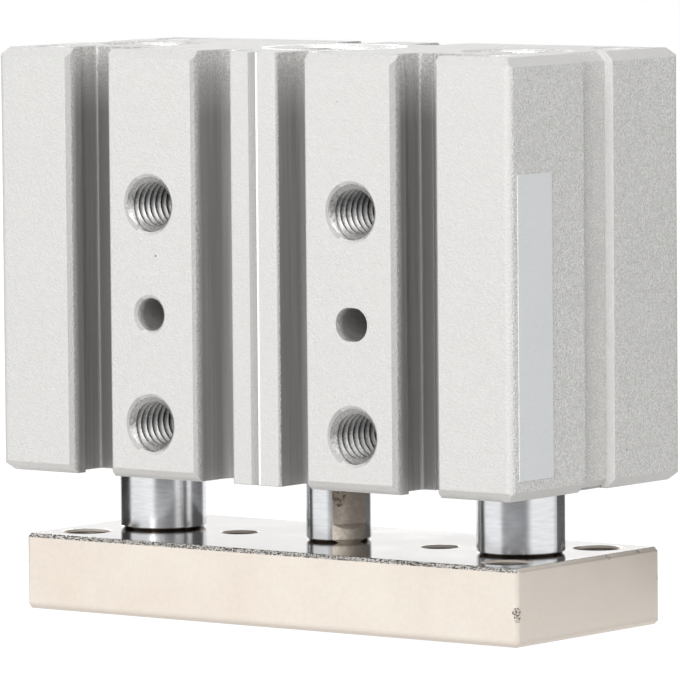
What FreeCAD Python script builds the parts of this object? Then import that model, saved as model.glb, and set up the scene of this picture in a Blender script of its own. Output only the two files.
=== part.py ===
import FreeCAD, Part
import os
import re

import Sketcher

# Compact guided pneumatic cylinder, 12 mm bore and 10 mm stroke, with two plain-bearing guide rods.
# Frame: +Z up, the end plate at the bottom, the flat front of the housing towards -Y.
# Origin: the centre of the end plate's underside. Rest pose: the rods drawn in.

# Driving dimensions in millimetres and degrees: name, value, what it is.
SIZES = [
    ("stroke", 10.0, "travel of the plate"),
    ("bore_diameter", 12.0, "cylinder bore"),
    ("piston_rod_diameter", 6.0, "piston rod"),
    ("guide_rod_diameter", 8.0, "guide rods"),
    ("rod_to_side", 8.5, "guide rod's middle from the housing's side face"),
    ("guide_rod_length", 35.0, "guide rod above the plate"),
    ("running_gap", 0.05, "radial gap of a part that slides in another"),
    ("fit_gap", 0.03, "radial gap of a part that sits still in another"),
    ("stop_gap", 0.05, "gap left at each end of the travel"),

    ("plate_inset_x", 1.0, "plate's ends inside the housing's side faces"),
    ("plate_inset_y", 2.0, "plate's front and rear inside the housing's"),
    ("plate_thickness", 7.0, "end plate along Z"),
    ("plate_bevel", 0.35, "bevel round the plate's edges"),
    ("plate_gap", 6.0, "gap between plate and housing at rest"),
    ("plate_thread_to_edge", 4.0, "plate threads from the plate's edges"),
    ("plate_thread_diameter", 4.0, "plate threads, major diameter"),
    ("pin_pitch", 23.0, "plate pin holes along X"),
    ("pin_diameter", 3.0, "pin holes in plate and housing"),
    ("pin_bevel", 0.3, "bevel at the mouth of a pin hole"),

    ("guide_screw_diameter", 4.0, "screws that hold the guide rods"),
    ("guide_screw_length", 10.0, "their length under the head"),
    ("guide_screw_head", 7.0, "their head diameter"),
    ("guide_screw_key", 3.0, "their hexagon across flats"),
    ("centre_screw_diameter", 3.0, "screw that holds the piston rod"),
    ("centre_screw_length", 10.0, "its length under the head"),
    ("centre_screw_head", 5.5, "its head diameter"),
    ("centre_screw_key", 2.5, "its hexagon across flats"),
    ("head_side_gap", 0.5, "radial gap of a screw head in its counterbore"),
    ("head_sink", 0.4, "screw head below the plate's underside"),
    ("tap_reserve", 2.0, "tapped hole beyond the screw's end"),
    ("shank_gap", 0.25, "radial gap of a screw in its clearance hole"),

    ("rod_foot_bevel", 0.3, "bevel at the foot of each rod"),
    ("rod_tip_bevel", 0.8, "bevel at the free end of a guide rod"),
    ("flat_width", 5.0, "piston rod across its two wrench flats"),
    ("flat_start", 0.9, "flats above the plate"),
    ("flat_length", 5.6, "length of the flats"),
    ("flat_turn", 60.0, "turn of the flats about the rod"),

    ("housing_width", 58.0, "housing along X"),
    ("housing_depth", 26.0, "housing along Y"),
    ("corner_radius", 0.7, "long corners of the housing"),
    ("end_bevel", 0.85, "bevel round both ends of the housing"),
    ("slot_to_side", 10.5, "T-slot's middle from the side face"),
    ("slot_neck", 4.4, "T-slot mouth"),
    ("slot_head", 7.4, "T-slot inside width"),
    ("slot_lip", 1.9, "thickness of the T-slot's lips"),
    ("slot_depth", 5.9, "T-slot depth"),
    ("slot_corner", 0.4, "inner corners of the T-slot"),
    ("slot_bevel", 0.4, "bevel at the T-slot's mouth"),
    ("slot_channel_width", 4.4, "shallow channel in the T-slot's floor"),
    ("slot_channel_depth", 0.3, "its depth"),
    ("sensor_share", 0.39, "sensor slots, as a share of the way to the mounting holes"),
    ("sensor_width", 3.54, "sensor slot width"),
    ("sensor_depth", 5.4, "sensor slot depth"),
    ("sensor_bevel", 0.3, "bevel at a sensor slot's mouth"),
    ("land_drop", 0.8, "middle land below the front face"),
    ("mark_width", 0.6, "fine groove along the middle"),
    ("side_groove_width", 4.5, "groove along each side face"),
    ("side_groove_shift", 0.4, "its middle towards the rear"),
    ("side_groove_depth", 0.9, "its depth"),

    ("hole_to_slot", 7.0, "mounting hole's middle from the T-slot's"),
    ("face_hole_pitch_z", 20.0, "mounting holes along Z"),
    ("face_hole_height", 5.0, "lower mounting holes above the housing's lower end"),
    ("face_thread_diameter", 5.0, "mounting threads, major diameter"),
    ("face_thread_depth", 10.0, "mounting thread depth"),
    ("face_bevel", 0.3, "countersink at the mouth of a thread or pin hole"),
    ("through_diameter", 4.3, "through holes behind the threads"),
    ("counterbore_diameter", 8.0, "counterbores at the rear"),
    ("counterbore_depth", 4.5, "their depth"),
    ("locating_height", 15.0, "pin hole and slot above the housing's lower end"),
    ("locating_depth", 6.0, "their depth"),
    ("locating_slot_length", 3.5, "length of the locating slot along X"),
    ("end_thread_to_edge", 4.0, "threads in the upper end from the faces"),
    ("end_thread_diameter", 4.0, "threads in the upper end, major diameter"),
    ("end_thread_depth", 10.0, "their depth"),
    ("port_offset", -10.5, "air ports from the middle"),
    ("port_diameter", 5.0, "air port threads, major diameter"),
    ("port_depth", 4.5, "air port thread depth"),
    ("port_inset", 1.2, "air ports from the ends of the chamber"),
    ("airway_diameter", 1.8, "drilling from each port to the bore"),

    ("bush_diameter", 9.6, "guide bushes, outside"),
    ("bush_length", 8.0, "guide bush length"),
    ("bush_inset", 0.6, "lower bushes from the housing's lower end"),
    ("bush_spacing", 10.0, "from one bush of a rod to the next"),
    ("mouth_bevel", 0.3, "bevel at the mouth of a bore or bush"),

    ("ring_inset", 1.2, "retaining rings from the ends of the housing"),
    ("ring_thickness", 1.0, "retaining ring thickness"),
    ("ring_groove_depth", 0.5, "depth of the grooves that hold the rings"),
    ("ring_band", 0.95, "width of a ring opposite its opening"),
    ("ring_lug_radius", 1.25, "lugs beside a ring's opening"),
    ("ring_opening", 3.4, "opening of a ring"),

    ("collar_length", 7.8, "rod collar"),
    ("collar_web", 0.4, "web between rod seal and rod bush"),
    ("rod_seal_width", 1.58, "rod seal, radial"),
    ("rod_seal_height", 2.8, "rod seal recess along the rod"),
    ("rod_bush_wall", 0.95, "rod bush wall"),
    ("gasket_groove_width", 1.8, "gasket grooves along Z"),
    ("gasket_groove_depth", 1.07, "gasket grooves, radial"),
    ("gasket_inset", 0.9, "gasket grooves from the inner faces"),
    ("cover_length", 3.4, "head cover"),
    ("cover_dish_diameter", 7.0, "shallow dish in the head cover"),
    ("cover_dish_depth", 0.5, "its depth"),

    ("bumper_thickness", 1.0, "rubber bumpers"),
    ("bumper_width", 1.3, "rubber bumpers, radial"),
    ("piston_length", 11.3, "piston"),
    ("piston_skirt", 2.9, "slim lower end of the piston"),
    ("piston_slim_diameter", 10.4, "slim ends of the piston"),
    ("piston_land", 0.7, "lands beside the piston's grooves"),
    ("seal_groove_width", 2.0, "piston seal groove along Z"),
    ("magnet_groove_width", 1.5, "piston magnet groove along Z"),
    ("piston_groove_diameter", 8.0, "bottom of the piston's grooves"),
    ("spigot_diameter", 4.0, "rod end that goes through the piston"),
    ("rivet_head_diameter", 5.4, "its closed head"),
    ("rivet_head_height", 0.6, "height of that head"),

    ("film_width", 5.1, "plain film on the side face along Y"),
    ("film_height", 26.9, "film along Z"),
    ("film_edge", 1.05, "film from the front corner"),
    ("film_foot", 1.85, "film above the housing's lower end"),
    ("film_thickness", 0.08, "film thickness"),
]
KNOWN = {name for name, size, note in SIZES}

# Places worked out from the driving dimensions. Heights inside the housing count from its lower end.
COLLAR_FLOOR = "(ring_inset + ring_thickness)"
COLLAR_TOP = "(%s + collar_length)" % COLLAR_FLOOR
CHAMBER_FLOOR = "(%s + bumper_thickness)" % COLLAR_TOP
PISTON_FLOOR = "(%s + stroke + stop_gap)" % CHAMBER_FLOOR
CHAMBER_ROOF = "(%s + piston_length + bumper_thickness + stop_gap)" % PISTON_FLOOR
HOUSING_HEIGHT = "(%s + cover_length + ring_thickness + ring_inset)" % CHAMBER_ROOF
HOUSING_FLOOR = "(plate_thickness + plate_gap)"
RING_RADIUS = "(bore_diameter / 2 + ring_groove_depth)"
ROD_X = "(housing_width / 2 - rod_to_side)"
SLOT_X = "(housing_width / 2 - slot_to_side)"
HOLE_X = "(housing_width / 2 - slot_to_side - hole_to_slot)"
SENSOR_X = "(sensor_share * %s)" % HOLE_X
PLATE_WIDTH = "(housing_width - 2 * plate_inset_x)"
PLATE_DEPTH = "(housing_depth - 2 * plate_inset_y)"

SIDES = (("left", "-" + ROD_X), ("right", ROD_X))

doc = FreeCAD.newDocument("guided_cylinder")
sheet = doc.addObject("Spreadsheet::Sheet", "Sizes")
for row, (name, size, note) in enumerate(SIZES, start=1):
    sheet.set("A%d" % row, name)
    sheet.set("B%d" % row, "%g" % size)
    sheet.set("C%d" % row, note)
    sheet.setAlias("B%d" % row, name)
doc.recompute()

pieces = {}
CLOSE = 1e-4


# ---------------------------------------------------------------- formulas and places

def bound(formula):
    """The formula with every name of the sheet written in full."""
    def full(found):
        word = found.group()
        return "Sizes." + word if word in KNOWN else word
    return re.sub(r"[a-z_]+", full, formula)


def value(formula):
    return float(sheet.evalExpression(bound(formula)))


def tie(thing, path, formula):
    thing.setExpression(path, bound(formula))


def place(thing, x="0", y="0", z="0"):
    for axis, formula in zip("xyz", (x, y, z)):
        tie(thing, ".Placement.Base." + axis, formula)


def keep(thing, name):
    """Names a finished piece; its label becomes its file name."""
    thing.Label = name
    pieces[name] = thing
    return thing


# ---------------------------------------------------------------- sketches

def new_body(name):
    return keep(doc.addObject("PartDesign::Body", name), name)


def new_sketch(body, name, plane, offset="0"):
    """An empty sketch on one of the body's own planes, moved along the plane's normal."""
    sketch = body.newObject("Sketcher::SketchObject", name)
    support = [item for item in body.Origin.OriginFeatures if item.Role == plane]
    sketch.AttachmentSupport = [(support[0], "")]
    sketch.MapMode = "FlatFace"
    tie(sketch, ".AttachmentOffset.Base.z", offset)
    return sketch


def dimension(sketch, kind, geometry, point, formula):
    """Holds one coordinate of a sketch point at a formula."""
    constraint = Sketcher.Constraint(kind, -1, 1, geometry, point, value(formula))
    tie(sketch, "Constraints[%d]" % sketch.addConstraint(constraint), formula)


def polygon(sketch, corners):
    """A closed outline of straight lines; each corner is a pair of formulas."""
    first = sketch.GeometryCount
    count = len(corners)
    spots = [FreeCAD.Vector(value(x), value(y), 0) for x, y in corners]
    for number in range(count):
        line = Part.LineSegment(spots[number], spots[(number + 1) % count])
        sketch.addGeometry(line, False)
    for number in range(count):
        following = first + (number + 1) % count
        sketch.addConstraint(Sketcher.Constraint("Coincident", first + number, 2, following, 1))
    for number, (x, y) in enumerate(corners):
        dimension(sketch, "DistanceX", first + number, 1, x)
        dimension(sketch, "DistanceY", first + number, 1, y)


def rectangle(sketch, x, y, width, height):
    """A rectangle about a centre."""
    low_x = "%s - %s / 2" % (x, width)
    high_x = "%s + %s / 2" % (x, width)
    low_y = "%s - %s / 2" % (y, height)
    high_y = "%s + %s / 2" % (y, height)
    polygon(sketch, [(low_x, low_y), (high_x, low_y), (high_x, high_y), (low_x, high_y)])


def circle(sketch, x, y, diameter):
    centre = FreeCAD.Vector(value(x), value(y), 0)
    radius = diameter + " / 2"
    number = sketch.addGeometry(Part.Circle(centre, FreeCAD.Vector(0, 0, 1), value(radius)), False)
    dimension(sketch, "DistanceX", number, 3, x)
    dimension(sketch, "DistanceY", number, 3, y)
    constraint = sketch.addConstraint(Sketcher.Constraint("Radius", number, value(radius)))
    tie(sketch, "Constraints[%d]" % constraint, radius)


# ---------------------------------------------------------------- features

def pad(body, name, sketch, length):
    feature = body.newObject("PartDesign::Pad", name)
    feature.Profile = sketch
    tie(feature, ".Length", length)
    doc.recompute()
    return feature


def revolve(body, name, sketch):
    """A full turn of the sketch about its upright axis."""
    feature = body.newObject("PartDesign::Revolution", name)
    feature.Profile = sketch
    feature.ReferenceAxis = (sketch, ["V_Axis"])
    feature.Angle = 360
    doc.recompute()
    return feature


def cut(body, kind, name, set_up):
    """Adds a cutting feature and makes sure that it takes material away."""
    before = body.Shape.Volume
    feature = body.newObject("PartDesign::" + kind, name)
    set_up(feature)
    doc.recompute()
    if not body.Shape.Volume < before - CLOSE:
        raise RuntimeError("%s of %s cuts nothing" % (name, body.Label))
    return feature


def pocket(body, name, sketch, depth=None, backwards=False, both_ways=False):
    """Cuts the sketch to a depth, or right through where no depth is given."""
    def set_up(feature):
        feature.Profile = sketch
        feature.Reversed = backwards
        if both_ways:
            feature.SideType = "Symmetric"
        if depth is None:
            feature.Type = "ThroughAll"
        else:
            tie(feature, ".Length", depth)
    return cut(body, "Pocket", name, set_up)


def groove(body, name, sketch):
    def set_up(feature):
        feature.Profile = sketch
        feature.ReferenceAxis = (sketch, ["V_Axis"])
        feature.Angle = 360
    return cut(body, "Groove", name, set_up)


def dress(body, kind, name, edges, formula):
    """A Fillet or a Chamfer of the named edges."""
    if not edges:
        raise RuntimeError("%s of %s finds no edge" % (name, body.Label))
    base = body.Tip
    feature = body.newObject("PartDesign::" + kind, name)
    feature.Base = (base, edges)
    tie(feature, ".Radius" if kind == "Fillet" else ".Size", formula)
    doc.recompute()
    return feature


def edges_where(body, test):
    shape = body.Tip.Shape
    return ["Edge%d" % number for number, edge in enumerate(shape.Edges, start=1) if test(edge)]


def straight_edges(body, axis, first, second):
    """Straight edges along an axis, whose other two coordinates have these sizes."""
    others = [number for number in range(3) if number != axis]

    def test(edge):
        if not isinstance(edge.Curve, Part.Line):
            return False
        if abs(abs(edge.Curve.Direction[axis]) - 1) > CLOSE:
            return False
        spot = edge.Vertexes[0].Point
        misses = [abs(abs(spot[other]) - size) for other, size in zip(others, (first, second))]
        return max(misses) < CLOSE
    return edges_where(body, test)


def round_edges(body, axis, level, diameter):
    """Circular edges of one diameter in the plane where the axis's coordinate is the level."""
    def test(edge):
        if not isinstance(edge.Curve, Part.Circle):
            return False
        right_size = abs(edge.Curve.Radius - value(diameter) / 2) < CLOSE
        return right_size and abs(edge.Curve.Center[axis] - value(level)) < CLOSE
    return edges_where(body, test)


def turned(name, profile):
    """A body of revolution from its half profile, a list of (radius, height) formulas."""
    body = new_body(name)
    sketch = new_sketch(body, name + "_profile", "XZ_Plane")
    polygon(sketch, profile)
    revolve(body, name + "_turned", sketch)
    return body


# ---------------------------------------------------------------- housing

FACES = {
    "front": lambda across, depth: (across, "-housing_depth / 2 + (%s)" % depth),
    "rear": lambda across, depth: (across, "housing_depth / 2 - (%s)" % depth),
    "left": lambda across, depth: ("-housing_width / 2 + (%s)" % depth, across),
    "right": lambda across, depth: ("housing_width / 2 - (%s)" % depth, across),
}


def channel(sketch, face, centre, steps):
    """The section of a channel in one face: (half width, depth) steps from the mouth inwards."""
    one_side = [("%s - (%s)" % (centre, width), depth) for width, depth in steps]
    other_side = [("%s + (%s)" % (centre, width), depth) for width, depth in reversed(steps)]
    polygon(sketch, [FACES[face](across, depth) for across, depth in one_side + other_side])


T_SLOT = [
    ("slot_neck / 2 + slot_bevel", "0"),
    ("slot_neck / 2", "slot_bevel"),
    ("slot_neck / 2", "slot_lip"),
    ("slot_head / 2", "slot_lip"),
    ("slot_head / 2", "slot_depth"),
    ("slot_channel_width / 2", "slot_depth"),
    ("slot_channel_width / 2", "slot_depth + slot_channel_depth"),
]
SENSOR_SLOT = [
    ("sensor_width / 2 + sensor_bevel", "0"),
    ("sensor_width / 2", "sensor_bevel"),
    ("sensor_width / 2", "sensor_depth"),
]
SIDE_GROOVE = [
    ("side_groove_width / 2", "0"),
    ("side_groove_width / 2", "side_groove_depth"),
]
MIDDLE_LAND = [
    (SENSOR_X, "0"),
    (SENSOR_X, "land_drop"),
]


def extrude_housing():
    """The block and its long grooves, as the aluminium profile is pressed."""
    body = new_body("housing")
    place(body, z=HOUSING_FLOOR)
    outline = new_sketch(body, "block_outline", "XY_Plane")
    rectangle(outline, "0", "0", "housing_width", "housing_depth")
    pad(body, "block", outline, HOUSING_HEIGHT)
    corners = straight_edges(body, 2, value("housing_width / 2"), value("housing_depth / 2"))
    dress(body, "Fillet", "long_corners", corners, "corner_radius")

    sections = new_sketch(body, "groove_sections", "XY_Plane")
    for sign in ("-", ""):
        channel(sections, "front", sign + SLOT_X, T_SLOT)
        channel(sections, "front", sign + SENSOR_X, SENSOR_SLOT)
        channel(sections, "rear", sign + SENSOR_X, SENSOR_SLOT)
    for face in ("left", "right"):
        channel(sections, face, "side_groove_shift", SIDE_GROOVE)
    pocket(body, "long_grooves", sections, backwards=True)

    land = new_sketch(body, "middle_land_section", "XY_Plane")
    channel(land, "front", "0", MIDDLE_LAND)
    pocket(body, "middle_land", land, backwards=True)
    mark = new_sketch(body, "middle_mark_section", "XY_Plane")
    mark_corners = [
        FACES["front"]("-mark_width / 2", "land_drop"),
        FACES["front"]("0", "land_drop + mark_width / 2"),
        FACES["front"]("mark_width / 2", "land_drop"),
    ]
    polygon(mark, mark_corners)
    pocket(body, "middle_mark", mark, backwards=True)
    return body


def round_the_grooves(body):
    """Inner corners of the grooves, as a pressing die leaves them."""
    front = value("housing_depth / 2")
    slot_corners = []
    for sign in (-1, 1):
        across = value(SLOT_X) + sign * value("slot_head / 2")
        for depth in ("slot_lip", "slot_depth"):
            slot_corners += straight_edges(body, 2, across, front - value(depth))
    dress(body, "Fillet", "slot_corners", slot_corners, "slot_corner")
    sensor_corners = []
    for sign in (-1, 1):
        across = value(SENSOR_X) + sign * value("sensor_width / 2")
        sensor_corners += straight_edges(body, 2, across, front - value("sensor_depth"))
    dress(body, "Fillet", "sensor_slot_floors", sensor_corners, "sensor_width * 0.45")
    land_edges = straight_edges(body, 2, value(SENSOR_X + " - sensor_width / 2"),
                                front - value("land_drop"))
    dress(body, "Fillet", "land_edges", land_edges, "sensor_bevel")


def bevel_housing_ends(body):
    """Straight bevels along the four outer faces and the side grooves' floors at both ends."""
    runs = [
        ("width", "XZ_Plane", "0", "housing_width / 2", None),
        ("depth", "YZ_Plane", "0", "housing_depth / 2", None),
        ("groove", "XZ_Plane", "-side_groove_shift", "housing_width / 2 - side_groove_depth",
         "side_groove_width"),
    ]
    for name, plane, offset, span, length in runs:
        cuts = new_sketch(body, name + "_bevel_sections", plane, offset)
        for side in ("-", ""):
            outer = side + "(" + span + ")"
            inner = side + "(" + span + " - end_bevel)"
            polygon(cuts, [(outer, "0"), (outer, "end_bevel"), (inner, "0")])
            below = HOUSING_HEIGHT + " - end_bevel"
            polygon(cuts, [(outer, HOUSING_HEIGHT), (outer, below), (inner, HOUSING_HEIGHT)])
        pocket(body, name + "_end_bevels", cuts, length, both_ways=True)


def bore_housing(body):
    """The cylinder bore with its ring grooves, and the two guide bores."""
    bores = new_sketch(body, "bore_circles", "XY_Plane")
    circle(bores, "0", "0", "bore_diameter")
    circle(bores, "-" + ROD_X, "0", "bush_diameter")
    circle(bores, ROD_X, "0", "bush_diameter")
    pocket(body, "bores", bores, backwards=True)
    mouths = []
    for level in ("0", HOUSING_HEIGHT):
        for diameter in ("bore_diameter", "bush_diameter"):
            mouths += round_edges(body, 2, level, diameter)
    dress(body, "Chamfer", "bore_mouths", mouths, "mouth_bevel")
    rings = new_sketch(body, "ring_groove_sections", "XZ_Plane")
    for height in ("ring_inset", CHAMBER_ROOF + " + cover_length"):
        top = height + " + ring_thickness"
        corners = [("bore_diameter / 4", height), (RING_RADIUS, height),
                   (RING_RADIUS, top), ("bore_diameter / 4", top)]
        polygon(rings, corners)
    groove(body, "ring_grooves", rings)


def drill_front(body):
    """Mounting threads with through holes and counterbores, pin hole and locating slot."""
    half = "housing_depth / 2"
    heights = ("face_hole_height", "face_hole_height + face_hole_pitch_z")
    spots = [(sign + HOLE_X, height) for sign in ("-", "") for height in heights]
    steps = [
        ("face_threads", half, "face_thread_diameter", "face_thread_depth", False),
        ("through_holes", half, "through_diameter", None, False),
        ("counterbores", "-" + half, "counterbore_diameter", "counterbore_depth", True),
    ]
    for name, offset, diameter, depth, backwards in steps:
        circles = new_sketch(body, name + "_circles", "XZ_Plane", offset)
        for x, height in spots:
            circle(circles, x, height, diameter)
        pocket(body, name, circles, depth, backwards)
    pin = new_sketch(body, "locating_pin_circle", "XZ_Plane", half)
    circle(pin, "-" + HOLE_X, "locating_height", "pin_diameter")
    pocket(body, "locating_pin_hole", pin, "locating_depth")
    mouths = round_edges(body, 1, "-" + half, "face_thread_diameter")
    mouths += round_edges(body, 1, "-" + half, "pin_diameter")
    dress(body, "Chamfer", "front_mouths", mouths, "face_bevel")

    slot = new_sketch(body, "locating_slot_outline", "XZ_Plane", half)
    rectangle(slot, HOLE_X, "locating_height",
              "locating_slot_length", "pin_diameter")
    pocket(body, "locating_slot", slot, "locating_depth")
    low = value(HOLE_X + " - locating_slot_length / 2")
    high = value(HOLE_X + " + locating_slot_length / 2")
    ends = []
    for height in (value("locating_height - pin_diameter / 2"),
                   value("locating_height + pin_diameter / 2")):
        ends += straight_edges(body, 1, low, height) + straight_edges(body, 1, high, height)
    dress(body, "Fillet", "locating_slot_ends", ends, "pin_diameter * 0.49")


def drill_upper_end(body):
    circles = new_sketch(body, "end_thread_circles", "XY_Plane", HOUSING_HEIGHT)
    for x in ("-", ""):
        for y in ("-", ""):
            circle(circles, x + "(housing_width / 2 - end_thread_to_edge)",
                   y + "(housing_depth / 2 - end_thread_to_edge)", "end_thread_diameter")
    pocket(body, "end_threads", circles, "end_thread_depth")
    mouths = round_edges(body, 2, HOUSING_HEIGHT, "end_thread_diameter")
    dress(body, "Chamfer", "end_thread_mouths", mouths, "face_bevel")


def drill_air_ports(body):
    """Two threaded ports in the rear face, each with a slanted drilling into the bore."""
    half = "housing_depth / 2"
    heights = (CHAMBER_FLOOR + " + port_inset", CHAMBER_ROOF + " - port_inset")
    circles = new_sketch(body, "port_circles", "XZ_Plane", "-" + half)
    for height in heights:
        circle(circles, "port_offset", height, "port_diameter")
    pocket(body, "ports", circles, "port_depth", backwards=True)
    mouths = round_edges(body, 1, half, "port_diameter")
    dress(body, "Chamfer", "port_mouths", mouths, "face_bevel")
    floor = FreeCAD.Vector(value("port_offset"), value(half + " - port_depth"), 0)
    reach = floor.Length - value("bore_diameter / 3")
    for number, height in enumerate(heights, start=1):
        def set_up(feature):
            tie(feature, ".Radius", "airway_diameter / 2")
            feature.Height = reach
            spot = floor + FreeCAD.Vector(0, 0, value(height))
            turn = FreeCAD.Rotation(FreeCAD.Vector(0, 0, 1), FreeCAD.Vector(-floor.x, -floor.y, 0))
            feature.Placement = FreeCAD.Placement(spot, turn)
        cut(body, "SubtractiveCylinder", "airway_%d" % number, set_up)


def make_housing():
    body = extrude_housing()
    round_the_grooves(body)
    bevel_housing_ends(body)
    bore_housing(body)
    drill_front(body)
    drill_upper_end(body)
    drill_air_ports(body)


def make_film():
    """The plain self-adhesive film on the right side face."""
    film = keep(doc.addObject("Part::Box", "side_film"), "side_film")
    tie(film, ".Length", "film_thickness")
    tie(film, ".Width", "film_width")
    tie(film, ".Height", "film_height")
    place(film, "housing_width / 2", "-housing_depth / 2 + film_edge",
          HOUSING_FLOOR + " + film_foot")


# ---------------------------------------------------------------- bushes, collar, cover and rings

def ring_profile(inner, outer, height, bevel):
    """A plain ring with bevelled bore mouths."""
    return [
        (inner + " + " + bevel, "0"),
        (outer, "0"),
        (outer, height),
        (inner + " + " + bevel, height),
        (inner, height + " - " + bevel),
        (inner, bevel),
    ]


def make_guide_bushes():
    """Two plain bushes for each guide rod."""
    inner = "guide_rod_diameter / 2 + running_gap"
    outer = "bush_diameter / 2 - fit_gap"
    for side, x in SIDES:
        for level, height in (("lower", "bush_inset"), ("upper", "bush_inset + bush_spacing")):
            bush = turned("guide_bush_%s_%s" % (level, side),
                          ring_profile(inner, outer, "bush_length", "mouth_bevel"))
            place(bush, x, "0", HOUSING_FLOOR + " + " + height)


def make_rod_collar():
    """The collar at the rod's end: rod seal below, rod bush above, a gasket groove outside."""
    rod = "piston_rod_diameter / 2"
    outer = "bore_diameter / 2 - fit_gap"
    seal = rod + " + rod_seal_width + fit_gap"
    bush = rod + " + rod_bush_wall + fit_gap"
    web_top = "rod_seal_height + collar_web"
    groove_top = "collar_length - gasket_inset"
    groove_floor = groove_top + " - gasket_groove_width"
    groove_radius = "bore_diameter / 2 - gasket_groove_depth"
    profile = [
        (seal, "0"),
        (outer, "0"),
        (outer, groove_floor),
        (groove_radius, groove_floor),
        (groove_radius, groove_top),
        (outer, groove_top),
        (outer, "collar_length"),
        (bush, "collar_length"),
        (bush, web_top),
        (rod + " + shank_gap", web_top),
        (rod + " + shank_gap", "rod_seal_height"),
        (seal, "rod_seal_height"),
    ]
    base = HOUSING_FLOOR + " + " + COLLAR_FLOOR
    place(turned("rod_collar", profile), z=base)

    inner = rod + " + running_gap"
    length = "(collar_length - rod_seal_height - collar_web)"
    bush_ring = ring_profile(inner, rod + " + rod_bush_wall", length, "mouth_bevel / 2")
    place(turned("rod_bush", bush_ring), z=base + " + " + web_top)

    lip = "(rod_seal_height - fit_gap)"
    seal_profile = [
        (inner, "0"),
        (rod + " + rod_seal_width * 0.35", "0"),
        (rod + " + rod_seal_width * 0.45", lip + " * 0.45"),
        (rod + " + rod_seal_width * 0.6", lip + " * 0.45"),
        (rod + " + rod_seal_width * 0.7", "0"),
        (rod + " + rod_seal_width", "0"),
        (rod + " + rod_seal_width", lip),
        (inner, lip),
    ]
    place(turned("rod_seal", seal_profile), z=base)


def make_bumpers():
    """Rubber rings that soften the stops at both ends of the travel."""
    base = HOUSING_FLOOR + " + " + COLLAR_TOP
    inner = "piston_rod_diameter / 2 + shank_gap"
    lower = ring_profile(inner, inner + " + bumper_width", "bumper_thickness", "mouth_bevel / 2")
    place(turned("collar_bumper", lower), z=base)
    inner = "rivet_head_diameter / 2 + shank_gap"
    upper = ring_profile(inner, inner + " + bumper_width", "bumper_thickness", "mouth_bevel / 2")
    place(turned("piston_bumper", upper), z=HOUSING_FLOOR + " + " + PISTON_FLOOR + " + piston_length")


def make_head_cover():
    outer = "bore_diameter / 2 - fit_gap"
    groove_top = "gasket_inset + gasket_groove_width"
    groove_radius = "bore_diameter / 2 - gasket_groove_depth"
    dish = "cover_dish_diameter / 2"
    profile = [
        ("0", "0"),
        (outer, "0"),
        (outer, "gasket_inset"),
        (groove_radius, "gasket_inset"),
        (groove_radius, groove_top),
        (outer, groove_top),
        (outer, "cover_length"),
        (dish, "cover_length"),
        (dish + " - cover_dish_depth", "cover_length - cover_dish_depth"),
        ("0", "cover_length - cover_dish_depth"),
    ]
    place(turned("head_cover", profile), z=HOUSING_FLOOR + " + " + CHAMBER_ROOF)


def make_gaskets():
    """Round-section rings in the grooves of collar and cover."""
    section = "(gasket_groove_depth - fit_gap) / 2"
    lower = COLLAR_TOP + " - gasket_inset - gasket_groove_width / 2"
    upper = CHAMBER_ROOF + " + gasket_inset + gasket_groove_width / 2"
    for name, height in (("collar_gasket", lower), ("head_gasket", upper)):
        ring = keep(doc.addObject("Part::Torus", name), name)
        tie(ring, ".Radius1", "bore_diameter / 2 - gasket_groove_depth / 2")
        tie(ring, ".Radius2", section)
        place(ring, z=HOUSING_FLOOR + " + " + height)


def primitive(kind, name, sizes, x="0", y="0", z="0"):
    """A Part primitive with its sizes and place bound to formulas."""
    thing = doc.addObject("Part::" + kind, name)
    for size, formula in sizes.items():
        tie(thing, "." + size, formula)
    place(thing, x, y, z)
    return thing


def join(kind, name, first, second):
    thing = doc.addObject("Part::" + kind, name)
    thing.Base = first
    thing.Tool = second
    return thing


def make_retaining_ring(name, height):
    """An open spring ring with two drilled lugs, wider opposite its opening."""
    outer = RING_RADIUS + " - fit_gap"
    thick = {"Height": "ring_thickness"}
    disc = primitive("Cylinder", name + "_disc", {"Radius": outer, **thick})
    eccentric = "ring_band / 4"
    inner = "%s - ring_band + %s" % (outer, eccentric)
    middle = primitive("Cylinder", name + "_middle", {"Radius": inner, **thick}, y=eccentric)
    band = join("Cut", name + "_band", disc, middle)
    lug_x = "(ring_opening / 2 + ring_lug_radius)"
    lug_y = "sqrt((%s - ring_lug_radius) ^ 2 - %s ^ 2)" % (outer, lug_x)
    for side, sign in (("left", "-"), ("right", "")):
        x = sign + lug_x
        lug = primitive("Cylinder", "%s_lug_%s" % (name, side),
                        {"Radius": "ring_lug_radius", **thick}, x, lug_y)
        band = join("Fuse", "%s_with_%s_lug" % (name, side), band, lug)
    opening_size = {"Length": "ring_opening", "Width": RING_RADIUS, **thick}
    opening = primitive("Box", name + "_gap", opening_size, "-ring_opening / 2")
    band = join("Cut", name + "_open", band, opening)
    for side, sign in (("left", "-"), ("right", "")):
        x = sign + lug_x
        eye = primitive("Cylinder", "%s_eye_%s" % (name, side),
                        {"Radius": "ring_lug_radius * 0.4", **thick}, x, lug_y)
        band = join("Cut", "%s_with_%s_eye" % (name, side), band, eye)
    place(keep(band, name), z=HOUSING_FLOOR + " + " + height)


# ---------------------------------------------------------------- plate, rods and screws

def screw_seat(diameter, head):
    """Counterbore diameter and depth for a socket screw; its head is as high as the thread is wide."""
    return "(%s + 2 * head_side_gap)" % head, "(%s + head_sink)" % diameter


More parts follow.
